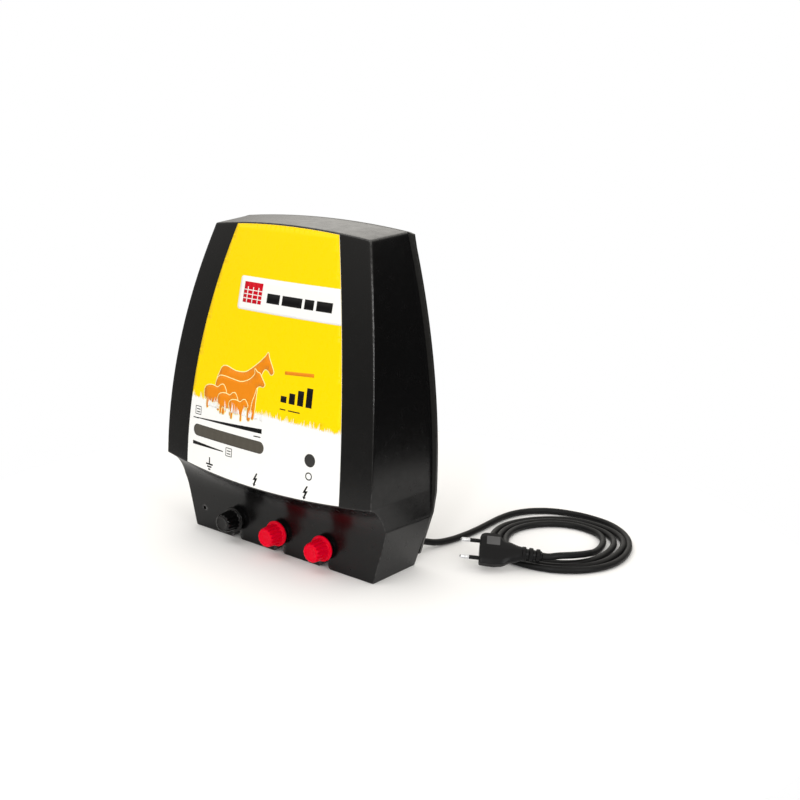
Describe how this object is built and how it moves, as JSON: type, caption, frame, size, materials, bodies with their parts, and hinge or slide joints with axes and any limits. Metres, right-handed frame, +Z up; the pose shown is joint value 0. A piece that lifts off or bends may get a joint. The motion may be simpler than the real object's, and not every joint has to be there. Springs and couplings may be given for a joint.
{
  "type": "electric fence energizer",
  "caption": "Mains electric-fence energizer for a wall, with a label face, screw-down output terminals above cable notches, and a coiled supply lead with a flat plug.",
  "frame": {"origin": "on the standing surface under the middle of the housing's outer box, the lead and plug not counted", "axes": "+X to the right seen from the label face, +Y towards the wall, +Z up"},
  "size_m": [0.424, 0.3254, 0.3299],
  "materials": {
    "housing": "glossy black moulded plastic",
    "plate": "satin black moulded plastic",
    "label": "printed polyester film, satin",
    "smoked_window": "smoked clear plastic",
    "lamp_lens": "smoked lens",
    "black_knob": "glossy black",
    "red_knob": "glossy red",
    "steel": "zinc or nickel plated",
    "brass": "turned",
    "aluminium": "extruded, plain",
    "core": "varnished laminations",
    "winding": "enamelled copper wire under tape",
    "capacitor": "moulded case",
    "board": "solder resist",
    "component": "moulded",
    "led": "tinted, unlit",
    "terminal_block": "moulded",
    "rubber": "satin sheath",
    "plug": "satin moulded plug"
  },
  "bodies": {
    "housing": {"front_casing": "housing", "rear_plate": "plate", "housing_seal": "rubber", "label_membrane": "label", "display_window": "smoked_window", "alarm_lens": "lamp_lens", "housing_screw_1": "steel", "housing_screw_2": "steel", "housing_screw_3": "steel", "housing_screw_4": "steel", "housing_screw_5": "steel", "housing_screw_6": "steel", "display_board": "board", "led_bar": "led", "alarm_led": "led", "circuit_board": "board", "board_screw_1": "steel", "board_screw_2": "steel", "board_screw_3": "steel", "board_screw_4": "steel", "transformer_core": "core", "transformer_winding": "winding", "storage_capacitor_1": "capacitor", "storage_capacitor_2": "capacitor", "heat_sink": "aluminium", "thyristor": "component", "mains_fuse": "component", "mains_terminal": "terminal_block", "stud_earth": "steel", "stud_nut_earth": "steel", "lead_earth": "rubber", "stud_fence_1": "steel", "stud_nut_fence_1": "steel", "lead_fence_1": "rubber", "stud_fence_2": "steel", "stud_nut_fence_2": "steel", "lead_fence_2": "rubber", "cord_gland": "rubber", "inner_cord": "rubber", "cord_clamp": "component", "mains_cord": "rubber", "cord_coil": "rubber", "cord_tail": "rubber", "plug_body": "plug", "plug_pin_1": "steel", "plug_pin_2": "steel", "pin_sleeve_1": "plug", "pin_sleeve_2": "plug"},
    "earth_clamp": {"clamp_washer_earth": "steel"},
    "earth_knob": {"knob_earth": "black_knob", "knob_insert_earth": "brass"},
    "fence_1_clamp": {"clamp_washer_fence_1": "steel"},
    "fence_1_knob": {"knob_fence_1": "red_knob", "knob_insert_fence_1": "brass"},
    "fence_2_clamp": {"clamp_washer_fence_2": "steel"},
    "fence_2_knob": {"knob_fence_2": "red_knob", "knob_insert_fence_2": "brass"}
  },
  "joints": [
    {"name": "earth_clamp_slide", "type": "slide", "parent": "housing", "child": "earth_clamp", "axis": [0, -1, 0], "range_m": [0, 0.006]},
    {"name": "earth_knob_turn", "type": "hinge", "parent": "earth_clamp", "child": "earth_knob", "pos_m": [-0.059, -0.03, 0.022], "axis": [0, -1, 0], "range_deg": [0, 2160]},
    {"name": "fence_1_clamp_slide", "type": "slide", "parent": "housing", "child": "fence_1_clamp", "axis": [0, -1, 0], "range_m": [0, 0.006]},
    {"name": "fence_1_knob_turn", "type": "hinge", "parent": "fence_1_clamp", "child": "fence_1_knob", "pos_m": [0, -0.03, 0.022], "axis": [0, -1, 0], "range_deg": [0, 2160]},
    {"name": "fence_2_clamp_slide", "type": "slide", "parent": "housing", "child": "fence_2_clamp", "axis": [0, -1, 0], "range_m": [0, 0.006]},
    {"name": "fence_2_knob_turn", "type": "hinge", "parent": "fence_2_clamp", "child": "fence_2_knob", "pos_m": [0.059, -0.03, 0.022], "axis": [0, -1, 0], "range_deg": [0, 2160]}
  ],
  "couplings": [
    {"joint": "earth_clamp_slide", "follows": "earth_knob_turn", "m_per_rad": 0.00015915},
    {"joint": "fence_1_clamp_slide", "follows": "fence_1_knob_turn", "m_per_rad": 0.00015915},
    {"joint": "fence_2_clamp_slide", "follows": "fence_2_knob_turn", "m_per_rad": 0.00015915}
  ]
}
